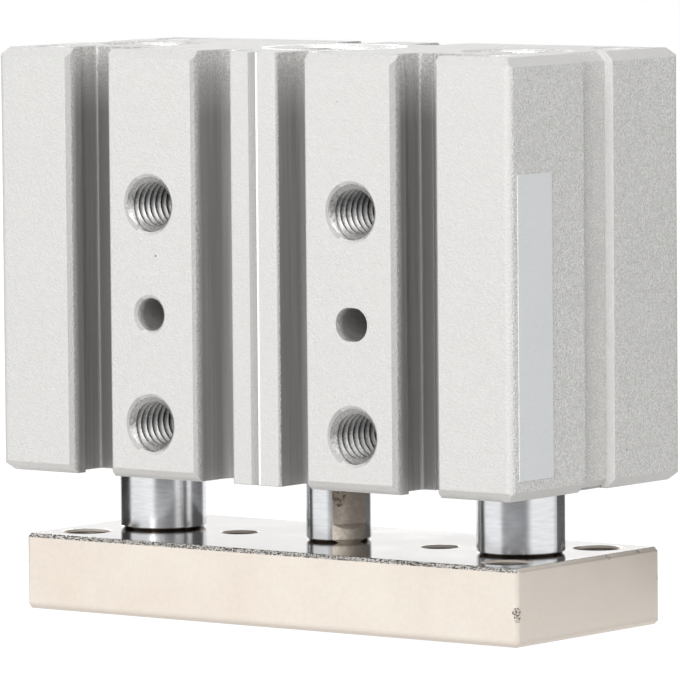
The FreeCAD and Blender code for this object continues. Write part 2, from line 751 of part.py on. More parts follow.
def make_plate():
    """The end plate: rod screws from below, four threads and two pin holes."""
    body = new_body("end_plate")
    outline = new_sketch(body, "plate_outline", "XY_Plane")
    rectangle(outline, "0", "0", PLATE_WIDTH, PLATE_DEPTH)
    pad(body, "plate", outline, "plate_thickness")
    rims = edges_where(body, lambda edge: isinstance(edge.Curve, Part.Line))
    dress(body, "Chamfer", "plate_edges", rims, "plate_bevel")

    threads = new_sketch(body, "plate_thread_circles", "XY_Plane")
    for x in ("-", ""):
        for y in ("-", ""):
            circle(threads, "%s(%s / 2 - plate_thread_to_edge)" % (x, PLATE_WIDTH),
                   "%s(%s / 2 - plate_thread_to_edge)" % (y, PLATE_DEPTH), "plate_thread_diameter")
    pins = ("-pin_pitch / 2", "pin_pitch / 2")
    for x in pins:
        circle(threads, x, "0", "pin_diameter")
    screws = [("-" + ROD_X, "guide_screw_diameter", "guide_screw_head"),
              ("0", "centre_screw_diameter", "centre_screw_head"),
              (ROD_X, "guide_screw_diameter", "guide_screw_head")]
    for x, diameter, head in screws:
        circle(threads, x, "0", "(%s + 2 * shank_gap)" % diameter)
    pocket(body, "plate_holes", threads, backwards=True)
    mouths = []
    for level in ("0", "plate_thickness"):
        mouths += round_edges(body, 2, level, "pin_diameter")
        mouths += round_edges(body, 2, level, "plate_thread_diameter")
    dress(body, "Chamfer", "plate_mouths", mouths, "pin_bevel")
    for number, (x, diameter, head) in enumerate(screws, start=1):
        seat_diameter, seat_depth = screw_seat(diameter, head)
        seat = new_sketch(body, "screw_seat_circle_%d" % number, "XY_Plane")
        circle(seat, x, "0", seat_diameter)
        pocket(body, "screw_seat_%d" % number, seat, seat_depth, backwards=True)


def tapped_foot(screw_diameter, screw_length):
    """The tapped hole in a rod's foot, from its drill point down to the mouth."""
    reach = "(%s - (plate_thickness - %s - head_sink) + tap_reserve)" % (screw_length, screw_diameter)
    return [
        ("0", "%s + %s * 0.3" % (reach, screw_diameter)),
        ("%s / 2" % screw_diameter, reach),
        ("%s / 2" % screw_diameter, "0"),
    ]


def make_guide_rods():
    radius = "guide_rod_diameter / 2"
    profile = tapped_foot("guide_screw_diameter", "guide_screw_length") + [
        (radius + " - rod_foot_bevel", "0"),
        (radius, "rod_foot_bevel"),
        (radius, "guide_rod_length - rod_tip_bevel"),
        (radius + " - rod_tip_bevel", "guide_rod_length"),
        ("0", "guide_rod_length"),
    ]
    for side, x in SIDES:
        place(turned("guide_rod_" + side, profile), x, "0", "plate_thickness")


def make_piston_rod():
    """Chromed rod with two wrench flats near the plate; its spigot is riveted over the piston."""
    radius = "piston_rod_diameter / 2"
    shoulder = "(%s + %s - plate_thickness)" % (HOUSING_FLOOR, PISTON_FLOOR)
    rivet = "(%s + piston_length)" % shoulder
    profile = tapped_foot("centre_screw_diameter", "centre_screw_length") + [
        (radius + " - rod_foot_bevel", "0"),
        (radius, "rod_foot_bevel"),
        (radius, shoulder),
        ("spigot_diameter / 2", shoulder),
        ("spigot_diameter / 2", rivet),
        ("rivet_head_diameter / 2", rivet),
        ("rivet_head_diameter / 2 - rivet_head_height / 2", rivet + " + rivet_head_height"),
        ("0", rivet + " + rivet_head_height"),
    ]
    body = turned("piston_rod", profile)
    flats = new_sketch(body, "flat_sections", "YZ_Plane")
    near = "flat_width / 2"
    far = "piston_rod_diameter / 2 + rod_foot_bevel"
    ramp = "(%s - %s)" % (far, near)
    for sign in ("-", ""):
        inside = "%s(%s)" % (sign, near)
        outside = "%s(%s)" % (sign, far)
        corners = [(outside, "flat_start"), (inside, "flat_start + " + ramp),
                   (inside, "flat_start + flat_length - " + ramp),
                   (outside, "flat_start + flat_length")]
        polygon(flats, corners)
    pocket(body, "wrench_flats", flats, both_ways=True)
    body.Placement.Rotation = FreeCAD.Rotation(FreeCAD.Vector(0, 0, 1), value("flat_turn"))
    tie(body, ".Placement.Rotation.Angle", "flat_turn")
    place(body, z="plate_thickness")


def make_screw(name, x, diameter, length, head, key):
    """A hexagon socket screw, head down, in its seat under the plate."""
    shank = "%s / 2 - fit_gap" % diameter
    seat = "(%s + head_sink)" % diameter
    bevel = "rod_foot_bevel"
    profile = [
        ("0", "head_sink"),
        ("%s / 2 - %s" % (head, bevel), "head_sink"),
        ("%s / 2" % head, "head_sink + " + bevel),
        ("%s / 2" % head, seat),
        (shank, seat),
        (shank, "%s + %s - %s" % (seat, length, bevel)),
        ("%s - %s" % (shank, bevel), "%s + %s" % (seat, length)),
        ("0", "%s + %s" % (seat, length)),
    ]
    body = turned(name, profile)

    def set_up(feature):
        feature.Polygon = 6
        tie(feature, ".Circumradius", "%s / sqrt(3)" % key)
        tie(feature, ".Height", "%s / 2" % diameter)
        tie(feature, ".Placement.Base.z", "head_sink")
    cut(body, "SubtractivePrism", name + "_socket", set_up)
    place(body, x)


def make_screws():
    for side, x in SIDES:
        make_screw("guide_rod_screw_" + side, x, "guide_screw_diameter", "guide_screw_length",
                   "guide_screw_head", "guide_screw_key")
    make_screw("piston_rod_screw", "0", "centre_screw_diameter", "centre_screw_length",
               "centre_screw_head", "centre_screw_key")


# ---------------------------------------------------------------- piston

def make_piston():
    """Piston with slim ends, a seal groove and a magnet groove."""
    bore = "spigot_diameter / 2 + fit_gap"
    slim = "piston_slim_diameter / 2"
    full = "bore_diameter / 2 - running_gap - fit_gap"
    root = "piston_groove_diameter / 2"
    seal_floor = "piston_skirt + piston_land"
    seal_top = seal_floor + " + seal_groove_width"
    magnet_floor = seal_top + " + piston_land"
    magnet_top = magnet_floor + " + magnet_groove_width"
    shoulder = magnet_top + " + piston_land"
    profile = [
        (bore, "0"), (slim, "0"), (slim, "piston_skirt"), (full, "piston_skirt"),
        (full, seal_floor), (root, seal_floor), (root, seal_top), (full, seal_top),
        (full, magnet_floor), (root, magnet_floor), (root, magnet_top), (full, magnet_top),
        (full, shoulder), (slim, shoulder), (slim, "piston_length"), (bore, "piston_length"),
    ]
    base = HOUSING_FLOOR + " + " + PISTON_FLOOR
    place(turned("piston", profile), z=base)

    inner = root + " + fit_gap"
    outer = "bore_diameter / 2 - running_gap"
    height = "(seal_groove_width - fit_gap)"
    waist = "(%s + %s) / 2" % (inner, outer)
    seal = [
        (inner, "0"),
        (outer + " - fit_gap * 4", "0"),
        (outer, height + " * 0.2"),
        (outer, height),
        (waist + " + fit_gap * 8", height),
        (waist, height + " * 0.55"),
        (waist + " - fit_gap * 8", height),
        (inner, height),
    ]
    place(turned("piston_seal", seal), z=base + " + " + seal_floor)
    magnet_outer = full + " - fit_gap * 8"
    magnet = ring_profile(inner, magnet_outer, "(magnet_groove_width - fit_gap)", "fit_gap * 2")
    place(turned("piston_magnet", magnet), z=base + " + " + magnet_floor)


# ---------------------------------------------------------------- build, check and write

def check(thing):
    """Stops the build if an object has failed or a piece has no sound solid."""
    if "Invalid" in thing.State or "Error" in thing.State:
        raise RuntimeError("%s failed: %s" % (thing.Label, thing.State))


def write_pieces():
    for thing in doc.Objects:
        check(thing)
    os.makedirs("parts", exist_ok=True)
    for name, thing in pieces.items():
        shape = thing.Shape
        if shape.isNull() or not shape.isValid() or len(shape.Solids) != 1:
            raise RuntimeError("%s is not one sound solid" % name)
        shape.exportStep("parts/%s.step" % name)
        box = shape.BoundBox
        print("%-24s %9.2f mm3  z %6.2f to %6.2f" % (name, shape.Volume, box.ZMin, box.ZMax))


make_housing()
make_film()
make_guide_bushes()
make_rod_collar()
make_bumpers()
make_head_cover()
make_gaskets()
make_retaining_ring("collar_retaining_ring", "ring_inset")
make_retaining_ring("head_retaining_ring", CHAMBER_ROOF + " + cover_length")
make_plate()
make_guide_rods()
make_piston_rod()
make_screws()
make_piston()
doc.recompute()
write_pieces()
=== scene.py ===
import math

import bmesh
import bpy
from mathutils import Matrix, Vector


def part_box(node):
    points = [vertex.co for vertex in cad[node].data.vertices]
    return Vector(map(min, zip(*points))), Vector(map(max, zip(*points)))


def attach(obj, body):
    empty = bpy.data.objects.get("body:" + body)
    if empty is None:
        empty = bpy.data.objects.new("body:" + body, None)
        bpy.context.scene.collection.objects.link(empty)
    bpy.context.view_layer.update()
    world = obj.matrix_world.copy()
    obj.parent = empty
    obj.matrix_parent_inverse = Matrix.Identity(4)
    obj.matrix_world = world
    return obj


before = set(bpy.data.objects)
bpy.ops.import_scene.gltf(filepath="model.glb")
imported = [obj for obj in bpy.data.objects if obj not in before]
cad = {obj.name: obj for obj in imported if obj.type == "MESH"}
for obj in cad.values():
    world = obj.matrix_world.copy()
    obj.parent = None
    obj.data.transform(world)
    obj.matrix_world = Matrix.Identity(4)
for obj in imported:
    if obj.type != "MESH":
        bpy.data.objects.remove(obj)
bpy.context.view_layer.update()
bpy.ops.object.select_all(action="DESELECT")

# The studio: a pale floor that runs off into white, one large soft lamp a little to the right of
# the front, one overhead and two weaker ones behind. Grey cards close to the object show only in its
# polished metal, where they give it the dark bands between the bright ones. The floor lies just
# below the end plate's lowest place, a stroke under where it stands at rest.
world = bpy.data.worlds.new("studio")
bpy.context.scene.world = world
world.use_nodes = True
tree = world.node_tree
tree.nodes.clear()
path = tree.nodes.new("ShaderNodeLightPath")
seen = tree.nodes.new("ShaderNodeMath")
seen.operation = "MAXIMUM"
tree.links.new(path.outputs["Is Camera Ray"], seen.inputs[0])
tree.links.new(path.outputs["Is Glossy Ray"], seen.inputs[1])
through = tree.nodes.new("ShaderNodeMath")
through.operation = "MAXIMUM"
tree.links.new(seen.outputs[0], through.inputs[0])
tree.links.new(path.outputs["Is Transmission Ray"], through.inputs[1])
fill = tree.nodes.new("ShaderNodeBackground")
fill.inputs["Color"].default_value = (1.0, 0.99, 0.975, 1.0)
fill.inputs["Strength"].default_value = 0.30
white = tree.nodes.new("ShaderNodeBackground")
white.inputs["Color"].default_value = (1.0, 1.0, 1.0, 1.0)
mix = tree.nodes.new("ShaderNodeMixShader")
tree.links.new(through.outputs[0], mix.inputs[0])
tree.links.new(fill.outputs[0], mix.inputs[1])
tree.links.new(white.outputs[0], mix.inputs[2])
surround = tree.nodes.new("ShaderNodeOutputWorld")
tree.links.new(mix.outputs[0], surround.inputs["Surface"])

FLOOR_LEVEL = -0.0101
bpy.ops.mesh.primitive_circle_add(vertices=96, radius=3.0, fill_type="NGON", location=(0, 0, FLOOR_LEVEL))
floor = bpy.context.active_object
floor.name = "floor"
floor_paper = bpy.data.materials.new("floor_paper")
floor_paper.use_nodes = True
tree = floor_paper.node_tree
tree.nodes.clear()
path = tree.nodes.new("ShaderNodeLightPath")
seen = tree.nodes.new("ShaderNodeMath")
seen.operation = "MAXIMUM"
tree.links.new(path.outputs["Is Camera Ray"], seen.inputs[0])
tree.links.new(path.outputs["Is Glossy Ray"], seen.inputs[1])
share = tree.nodes.new("ShaderNodeMath")
share.operation = "MULTIPLY"
share.inputs[1].default_value = 0.76
tree.links.new(seen.outputs[0], share.inputs[0])
paper = tree.nodes.new("ShaderNodeBsdfDiffuse")
paper.inputs["Color"].default_value = (0.90, 0.90, 0.89, 1.0)
glow = tree.nodes.new("ShaderNodeEmission")
glow.inputs["Color"].default_value = (1.0, 1.0, 1.0, 1.0)
glow.inputs["Strength"].default_value = 1.22
mix = tree.nodes.new("ShaderNodeMixShader")
tree.links.new(share.outputs[0], mix.inputs[0])
tree.links.new(paper.outputs[0], mix.inputs[1])
tree.links.new(glow.outputs[0], mix.inputs[2])
from_below = tree.nodes.new("ShaderNodeMixShader")
tree.links.new(tree.nodes.new("ShaderNodeNewGeometry").outputs["Backfacing"], from_below.inputs[0])
tree.links.new(mix.outputs[0], from_below.inputs[1])
tree.links.new(tree.nodes.new("ShaderNodeBsdfTransparent").outputs[0], from_below.inputs[2])
surface = tree.nodes.new("ShaderNodeOutputMaterial")
tree.links.new(from_below.outputs[0], surface.inputs["Surface"])
floor.data.materials.append(floor_paper)


def aim(thing, place, target):
    """Puts a lamp or card at a place and turns its -Z side towards the target."""
    thing.location = place
    thing.rotation_euler = (Vector(target) - Vector(place)).to_track_quat("-Z", "Y").to_euler()


for name, place, size, watts in (
        ("lamp_front", (0.36, -1.0, 0.55), 0.75, 11.8),
        ("lamp_back", (-0.75, 0.80, 0.50), 0.50, 3.6),
        ("lamp_right", (0.90, 0.50, 0.42), 0.50, 0.4),
        ("lamp_top", (0.05, -0.1, 1.1), 0.8, 1.8)):
    lamp = bpy.data.lights.new(name, "AREA")
    lamp.size = size
    lamp.energy = watts
    holder = bpy.data.objects.new(name, lamp)
    bpy.context.scene.collection.objects.link(holder)
    aim(holder, place, (0, 0, 0.03))

for name, start, end, shade in (
        ("card_left", -60, -112, 0.05), ("card_middle", -6, 72, 0.30), ("card_right", 118, 190, 0.12)):
    card_face = bpy.data.materials.new(name)
    card_face.use_nodes = True
    tree = card_face.node_tree
    tree.nodes.clear()
    even = tree.nodes.new("ShaderNodeEmission")
    even.inputs["Color"].default_value = (shade, shade, shade * 1.02, 1.0)
    clear = tree.nodes.new("ShaderNodeBsdfTransparent")
    across = tree.nodes.new("ShaderNodeSeparateXYZ")
    tree.links.new(tree.nodes.new("ShaderNodeTexCoord").outputs["UV"], across.inputs[0])
    middle_part = tree.nodes.new("ShaderNodeMath")
    middle_part.operation = "PINGPONG"
    middle_part.inputs[1].default_value = 0.5
    tree.links.new(across.outputs["X"], middle_part.inputs[0])
    soft = tree.nodes.new("ShaderNodeMapRange")
    soft.interpolation_type = "SMOOTHSTEP"
    soft.inputs["From Max"].default_value = 0.22
    tree.links.new(middle_part.outputs[0], soft.inputs["Value"])
    fade = tree.nodes.new("ShaderNodeMixShader")
    tree.links.new(soft.outputs[0], fade.inputs[0])
    tree.links.new(clear.outputs[0], fade.inputs[1])
    tree.links.new(even.outputs[0], fade.inputs[2])
    surface = tree.nodes.new("ShaderNodeOutputMaterial")
    tree.links.new(fade.outputs[0], surface.inputs["Surface"])
    ends = [Vector((0.085 * math.sin(math.radians(angle)), -0.085 * math.cos(math.radians(angle)), 0.03))
            for angle in (start, end)]
    bpy.ops.mesh.primitive_plane_add(size=1.0)
    card = bpy.context.active_object
    card.name = name
    card.scale = ((ends[1] - ends[0]).length, 0.062, 1.0)
    middle = (ends[0] + ends[1]) / 2
    aim(card, middle, (0, 0, middle.z))
    card.data.materials.append(card_face)
    card.visible_camera = False
    card.visible_diffuse = False
    card.visible_shadow = False
    card.visible_transmission = False

camera_data = bpy.data.cameras.new("camera")
camera_data.sensor_width = 36.0
camera_data.lens = 382.57
camera_data.clip_start = 0.01
camera = bpy.data.objects.new("camera", camera_data)
bpy.context.scene.collection.objects.link(camera)
turn = Matrix.Rotation(math.radians(37.2989), 4, "Z")
tilt = Matrix.Rotation(math.radians(90.0 - 4.5875), 4, "X")
roll = Matrix.Rotation(math.radians(-0.4980), 4, "Z")
camera.matrix_world = Matrix.Translation((0.398110, -0.522195, 0.077971)) @ turn @ tilt @ roll
bpy.context.scene.camera = camera
bpy.context.scene.view_settings.view_transform = "Standard"


# The housing: a length of aluminium extrusion with T-slots and sensor slots drawn into its
# faces, cut square and bevelled at both ends, drilled, bead blasted all over and clear
# anodised. The bores are cut after blasting, so they are brighter and smoother.
def new_group(name, inputs, outputs):
    """A node group with its sockets: each is (name, type, value)."""
    group = bpy.data.node_groups.new(name, "ShaderNodeTree")
    for label, kind, start in inputs:
        socket = group.interface.new_socket(label, in_out="INPUT", socket_type=kind)
        socket.default_value = start
    for label, kind in outputs:
        group.interface.new_socket(label, in_out="OUTPUT", socket_type=kind)
    return group, group.nodes.new("NodeGroupInput"), group.nodes.new("NodeGroupOutput")


def feed(tree, socket, start):
    """Gives a socket a value, or links another node's output to it."""
    if isinstance(start, bpy.types.NodeSocket):
        tree.links.new(start, socket)
    else:
        socket.default_value = start


def add(tree, kind, settings=None, **sockets):
    """A node with its settings; its sockets are given by name, or as at0, at1 by their order."""
    node = tree.nodes.new(kind)
    for key, choice in (settings or {}).items():
        setattr(node, key, choice)
    for key, start in sockets.items():
        by_order = key[:2] == "at" and key[2:].isdigit()
        feed(tree, node.inputs[int(key[2:]) if by_order else key.replace("_", " ")], start)
    return node


def maths(tree, operation, first, second=0.0, clamp=False):
    """The result of a sum or test on one or two values."""
    return add(tree, "ShaderNodeMath", {"operation": operation, "use_clamp": clamp},
               at0=first, at1=second).outputs[0]


def ramp(tree, amount, start, end):
    """Rises evenly from 0 at the start value to 1 at the end value, and stays in that range."""
    return add(tree, "ShaderNodeMapRange", {"clamp": True}, Value=amount,
               From_Min=start, From_Max=end).outputs[0]


# Fine grain: two sizes of noise, as a pale and dark speckle and as a height for bumps.
grain, given, out = new_group("fine_grain", [
    ("Scale", "NodeSocketFloat", 3000.0), ("Stretch", "NodeSocketVector", (1.0, 1.0, 1.0))],
    [("Speckle", "NodeSocketFloat"), ("Height", "NodeSocketFloat")])
where = add(grain, "ShaderNodeTexCoord").outputs["Object"]
where = add(grain, "ShaderNodeVectorMath", {"operation": "MULTIPLY"},
            at0=where, at1=given.outputs["Stretch"]).outputs[0]
fine = add(grain, "ShaderNodeTexNoise", Vector=where, Scale=given.outputs["Scale"],
           Detail=2.0, Roughness=0.6)
coarse_scale = maths(grain, "MULTIPLY", given.outputs["Scale"], 0.31)
coarse = add(grain, "ShaderNodeTexNoise", Vector=where, Scale=coarse_scale, Detail=2.0, Roughness=0.5)
height = maths(grain, "ADD", maths(grain, "MULTIPLY", fine.outputs["Fac"], 0.82),
               maths(grain, "MULTIPLY", coarse.outputs["Fac"], 0.18))
spread = ramp(grain, height, 0.36, 0.64)
grain.links.new(spread, out.inputs["Speckle"])
grain.links.new(fine.outputs["Fac"], out.inputs["Height"])

# Blotches: slow changes of tone where plating, cleaning and handling differ.
blotches, given, out = new_group("blotches", [
    ("Scale", "NodeSocketFloat", 120.0), ("Stretch", "NodeSocketVector", (1.0, 1.0, 1.0))],
    [("Fac", "NodeSocketFloat")])
where = add(blotches, "ShaderNodeTexCoord").outputs["Object"]
where = add(blotches, "ShaderNodeVectorMath", {"operation": "MULTIPLY"},
            at0=where, at1=given.outputs["Stretch"]).outputs[0]
cloud = add(blotches, "ShaderNodeTexNoise", Vector=where, Scale=given.outputs["Scale"],
            Detail=4.0, Roughness=0.55, Distortion=0.4)
spread = ramp(blotches, cloud.outputs["Fac"], 0.33, 0.67)
blotches.links.new(spread, out.inputs["Fac"])

# Edge wear: the rounding of a sharp edge, and where it is rubbed, broken up by noise.
wear, given, out = new_group("edge_wear", [
    ("Radius", "NodeSocketFloat", 0.0002), ("Scale", "NodeSocketFloat", 1500.0)],
    [("Mask", "NodeSocketFloat"), ("Normal", "NodeSocketVector")])
rounding = add(wear, "ShaderNodeBevel", {"samples": 6}, Radius=given.outputs["Radius"])
plain = add(wear, "ShaderNodeNewGeometry").outputs["Normal"]
same = add(wear, "ShaderNodeVectorMath", {"operation": "DOT_PRODUCT"},
           at0=rounding.outputs[0], at1=plain).outputs["Value"]
off = maths(wear, "SUBTRACT", 1.0, same)
where = add(wear, "ShaderNodeTexCoord").outputs["Object"]
nicks = add(wear, "ShaderNodeTexNoise", Vector=where, Scale=given.outputs["Scale"],
            Detail=3.0, Roughness=0.7)
nicks = ramp(wear, nicks.outputs["Fac"], 0.35, 0.6)
mask = maths(wear, "MULTIPLY", maths(wear, "MULTIPLY", off, 5.0, True), nicks, True)
wear.links.new(mask, out.inputs["Mask"])
wear.links.new(rounding.outputs[0], out.inputs["Normal"])

# Round area: 1 nearer than Radius to Centre, measured only along the ways that Plane keeps.
round_area, given, out = new_group("round_area", [
    ("Centre", "NodeSocketVector", (0.0, 0.0, 0.0)), ("Plane", "NodeSocketVector", (1.0, 1.0, 0.0)),
    ("Radius", "NodeSocketFloat", 0.005)], [("Mask", "NodeSocketFloat")])
where = add(round_area, "ShaderNodeTexCoord").outputs["Object"]
away = add(round_area, "ShaderNodeVectorMath", {"operation": "SUBTRACT"},
           at0=where, at1=given.outputs["Centre"]).outputs[0]
away = add(round_area, "ShaderNodeVectorMath", {"operation": "MULTIPLY"},
           at0=away, at1=given.outputs["Plane"]).outputs[0]
far = add(round_area, "ShaderNodeVectorMath", {"operation": "LENGTH"}, at0=away).outputs["Value"]
near = maths(round_area, "LESS_THAN", far, given.outputs["Radius"])
round_area.links.new(near, out.inputs["Mask"])


def use(tree, group, **sockets):
    """Places a shader group in a material with its own values."""
    node = tree.nodes.new("ShaderNodeGroup")
    node.node_tree = group
    for key, start in sockets.items():
        feed(tree, node.inputs[key], start)
    return node


def tint(tree, amount, first, second):
    """Mixes two colours by an amount."""
    node = tree.nodes.new("ShaderNodeMix")
    node.data_type = "RGBA"
    feed(tree, node.inputs[0], amount)
    for socket, colour in ((node.inputs[6], first), (node.inputs[7], second)):
        feed(tree, socket, colour + (1.0,) if isinstance(colour, tuple) else colour)
    return node.outputs[2]


def either(tree, masks):
    """1 where any one of the masks is 1."""
    joined = masks[0]
    for mask in masks[1:]:
        joined = maths(tree, "MAXIMUM", joined, mask)
    return joined


def level(tree, amount, low, high):
    """Turns a mask of 0 to 1 into a number between low and high."""
    return add(tree, "ShaderNodeMapRange", {"clamp": True}, Value=amount,
               To_Min=low, To_Max=high).outputs[0]


def new_material(name, metallic):
    """A material with its tree and its Principled shader."""
    material = bpy.data.materials.new(name)
    material.use_nodes = True
    shader = material.node_tree.nodes["Principled BSDF"]
    shader.inputs["Metallic"].default_value = metallic
    return material, material.node_tree, shader


def finish_with(material, *names):
    """Gives CAD nodes or pieces this material in place of their plain one."""
    for name in names:
        piece = cad[name] if isinstance(name, str) else name
        piece.data.materials.clear()
        piece.data.materials.append(material)


lower_corner, upper_corner = (Vector(corner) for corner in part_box("housing"))
front, rear = lower_corner.y, upper_corner.y
lower_end, upper_end = lower_corner.z, upper_corner.z
side = upper_corner.x
ROD_X = 0.0205
HOLE_X = 0.0115
hole_levels = (lower_end + 0.005, lower_end + 0.025)
SQUARE_ON = 0.85
SLANT = 0.35
COLOUR_MARGIN = 0.00005

blasted, tree, shader = new_material("blasted_aluminium", 0.2)
speckle = use(tree, grain, Scale=5800.0)
cloud = use(tree, blotches, Scale=90.0)
looks = add(tree, "ShaderNodeSeparateXYZ", Vector=add(tree, "ShaderNodeTexCoord").outputs["Normal"])
turned_x, turned_y, turned_z = (maths(tree, "ABSOLUTE", looks.outputs[way]) for way in "XYZ")
on_side = maths(tree, "GREATER_THAN", turned_x, SQUARE_ON)
edge = use(tree, wear, Radius=0.00016, Scale=2600.0)
bores = either(tree, [use(tree, round_area, Centre=(x, 0.0, 0.0), Radius=radius).outputs[0]
                      for x, radius in ((0.0, 0.00662), (-ROD_X, 0.00485), (ROD_X, 0.00485))])
skin = tint(tree, speckle.outputs["Speckle"], (0.635, 0.630, 0.620), (0.700, 0.695, 0.685))
# The side faces: a coarser speckle, and a lighter tone that is painted light on that side of the housing.
side_grain_and_painted_light = tint(tree, speckle.outputs["Speckle"], (0.585, 0.58, 0.57), (0.905, 0.90, 0.89))
skin = tint(tree, on_side, skin, side_grain_and_painted_light)
# The end faces are painted darker: painted shade that tones down the upper end under the overhead light.
on_end = maths(tree, "GREATER_THAN", turned_z, SQUARE_ON)
end_skin_painted_shade = tint(tree, speckle.outputs["Speckle"], (0.46, 0.455, 0.447), (0.56, 0.555, 0.547))
skin = tint(tree, on_end, skin, end_skin_painted_shade)
skin = tint(tree, level(tree, cloud.outputs["Fac"], 0.0, 0.22), skin, (0.66, 0.655, 0.65))
skin = tint(tree, level(tree, edge.outputs["Mask"], 0.0, 0.45), skin, (0.84, 0.84, 0.83))
spots = add(tree, "ShaderNodeTexVoronoi", Scale=210.0,
            Vector=add(tree, "ShaderNodeTexCoord").outputs["Object"])
pit = maths(tree, "LESS_THAN", spots.outputs["Distance"], 0.024)
skin = tint(tree, pit, skin, (0.24, 0.235, 0.23))

# Deep in the slots and holes the blast doesn't reach, so the drawn skin is glossier there, with faint lines
# along the way the profile was pressed.
# Its darker tone there is painted shade in the recesses, and the slot floors that face front or back are
# painted darker still.
where = add(tree, "ShaderNodeTexCoord").outputs["Object"]
place = add(tree, "ShaderNodeSeparateXYZ", Vector=where)
from_middle = maths(tree, "ABSOLUTE", place.outputs["Y"])
deep = ramp(tree, from_middle, rear - 0.0004, rear - 0.0012)
sideways = maths(tree, "ABSOLUTE", place.outputs["X"])
off_sides = maths(tree, "LESS_THAN", sideways, side - 0.0015)
LAND_HALF = 0.002706
across = maths(tree, "MULTIPLY", off_sides, maths(tree, "GREATER_THAN", sideways, LAND_HALF))
half_way = (lower_end + upper_end) / 2
level_up = maths(tree, "ABSOLUTE", maths(tree, "SUBTRACT", place.outputs["Z"], half_way))
along = maths(tree, "LESS_THAN", level_up, upper_end - half_way - COLOUR_MARGIN)
# Faces slanted between a side and the front or back are painted darker: painted shade from the angle at
# which they turn from the light.
slant_shade = maths(tree, "MULTIPLY", maths(tree, "GREATER_THAN", turned_x, SLANT),
                maths(tree, "GREATER_THAN", turned_y, SLANT))
slant_shade = maths(tree, "MULTIPLY", slant_shade, off_sides)
skin = tint(tree, maths(tree, "MULTIPLY", slant_shade, 0.7), skin, (0.44, 0.435, 0.43))
deep = maths(tree, "MULTIPLY", deep, maths(tree, "MULTIPLY", across, along))
# Past the mouth, the walls inside the four front tapped holes are painted near black: painted shade in the
# holes.
tapped = either(tree, [
    use(tree, round_area, Centre=(x, 0.0, z), Plane=(1.0, 0.0, 1.0), Radius=0.00256).outputs[0]
    for x in (-HOLE_X, HOLE_X) for z in hole_levels])
tapped = maths(tree, "MULTIPLY", tapped, maths(tree, "LESS_THAN", from_middle, rear - 0.00032))
lines = use(tree, grain, Scale=2600.0, Stretch=(1.0, 1.0, 0.02))
drawn_skin_and_shade = tint(tree, lines.outputs["Speckle"], (0.38, 0.372, 0.366), (0.47, 0.462, 0.455))
slot_floor = maths(tree, "GREATER_THAN", turned_y, SQUARE_ON)
drawn_skin_and_shade = tint(tree, maths(tree, "MULTIPLY", slot_floor, 0.8), drawn_skin_and_shade, (0.25, 0.245, 0.24))
# Near the upper end the slot insides are painted lighter: painted light where light reaches in through the
# open end.
near_top = ramp(tree, place.outputs["Z"], upper_end - 0.0060, upper_end + 0.0005)
lit = tint(tree, speckle.outputs["Speckle"], (0.50, 0.49, 0.48), (0.86, 0.85, 0.84))
drawn_skin_and_shade = tint(tree, near_top, drawn_skin_and_shade, lit)
skin = tint(tree, deep, skin, drawn_skin_and_shade)
# The mark groove on the front face: its left half is painted shade and its right wall a painted highlight.
MARK_HALF = 0.00052
LIT_WALL_START = 0.00028
near_mark = maths(tree, "LESS_THAN", sideways, MARK_HALF)
in_front = maths(tree, "LESS_THAN", place.outputs["Y"], front + 0.002)
mark_groove_light_and_shade = maths(tree, "MULTIPLY", near_mark, maths(tree, "MULTIPLY", in_front, along))
mark_lit_wall = maths(tree, "GREATER_THAN", place.outputs["X"], LIT_WALL_START)
skin = tint(tree, mark_groove_light_and_shade, skin, tint(tree, mark_lit_wall, (0.45, 0.445, 0.44), (1.0, 1.0, 0.99)))
# Painted shade inside the front tapped holes.
skin = tint(tree, tapped, skin, (0.13, 0.127, 0.124))
skin = tint(tree, bores, skin, (0.74, 0.74, 0.735))
tree.links.new(skin, shader.inputs["Base Color"])
bare = maths(tree, "MAXIMUM", bores, maths(tree, "MULTIPLY", deep, 0.5))
tree.links.new(level(tree, bare, 0.2, 0.8), shader.inputs["Metallic"])
shader.inputs["Specular IOR Level"].default_value = 0.3
dull = level(tree, speckle.outputs["Speckle"], 0.52, 0.70)
dull = maths(tree, "MULTIPLY", dull, level(tree, deep, 1.0, 0.6))
tree.links.new(maths(tree, "MULTIPLY", dull, level(tree, bores, 1.0, 0.4)), shader.inputs["Roughness"])
rough = maths(tree, "MULTIPLY", level(tree, on_side, 0.32, 0.6), level(tree, deep, 1.0, 0.25))
bump = add(tree, "ShaderNodeBump", Height=speckle.outputs["Height"], Normal=edge.outputs["Normal"],
           Distance=0.0006, Strength=rough)
tree.links.new(bump.outputs[0], shader.inputs["Normal"])
finish_with(blasted, "housing")

# The tapped threads: one helical ridge that the tap leaves in each hole, cut through the
# anodising, so it is bright bare aluminium. Four M5 in the front face, four M4 in the upper
# end and two M5 in the air ports at the rear.
TURN_STEPS = 28
TIP_SHARE = 0.18
START_IN = 0.00005
M5, M5_PITCH = 0.005, 0.0008
M4, M4_PITCH = 0.004, 0.0007
PORT_X = -0.0105
port_levels = (lower_end + 0.0122, lower_end + 0.0322)
END_INSET = 0.004


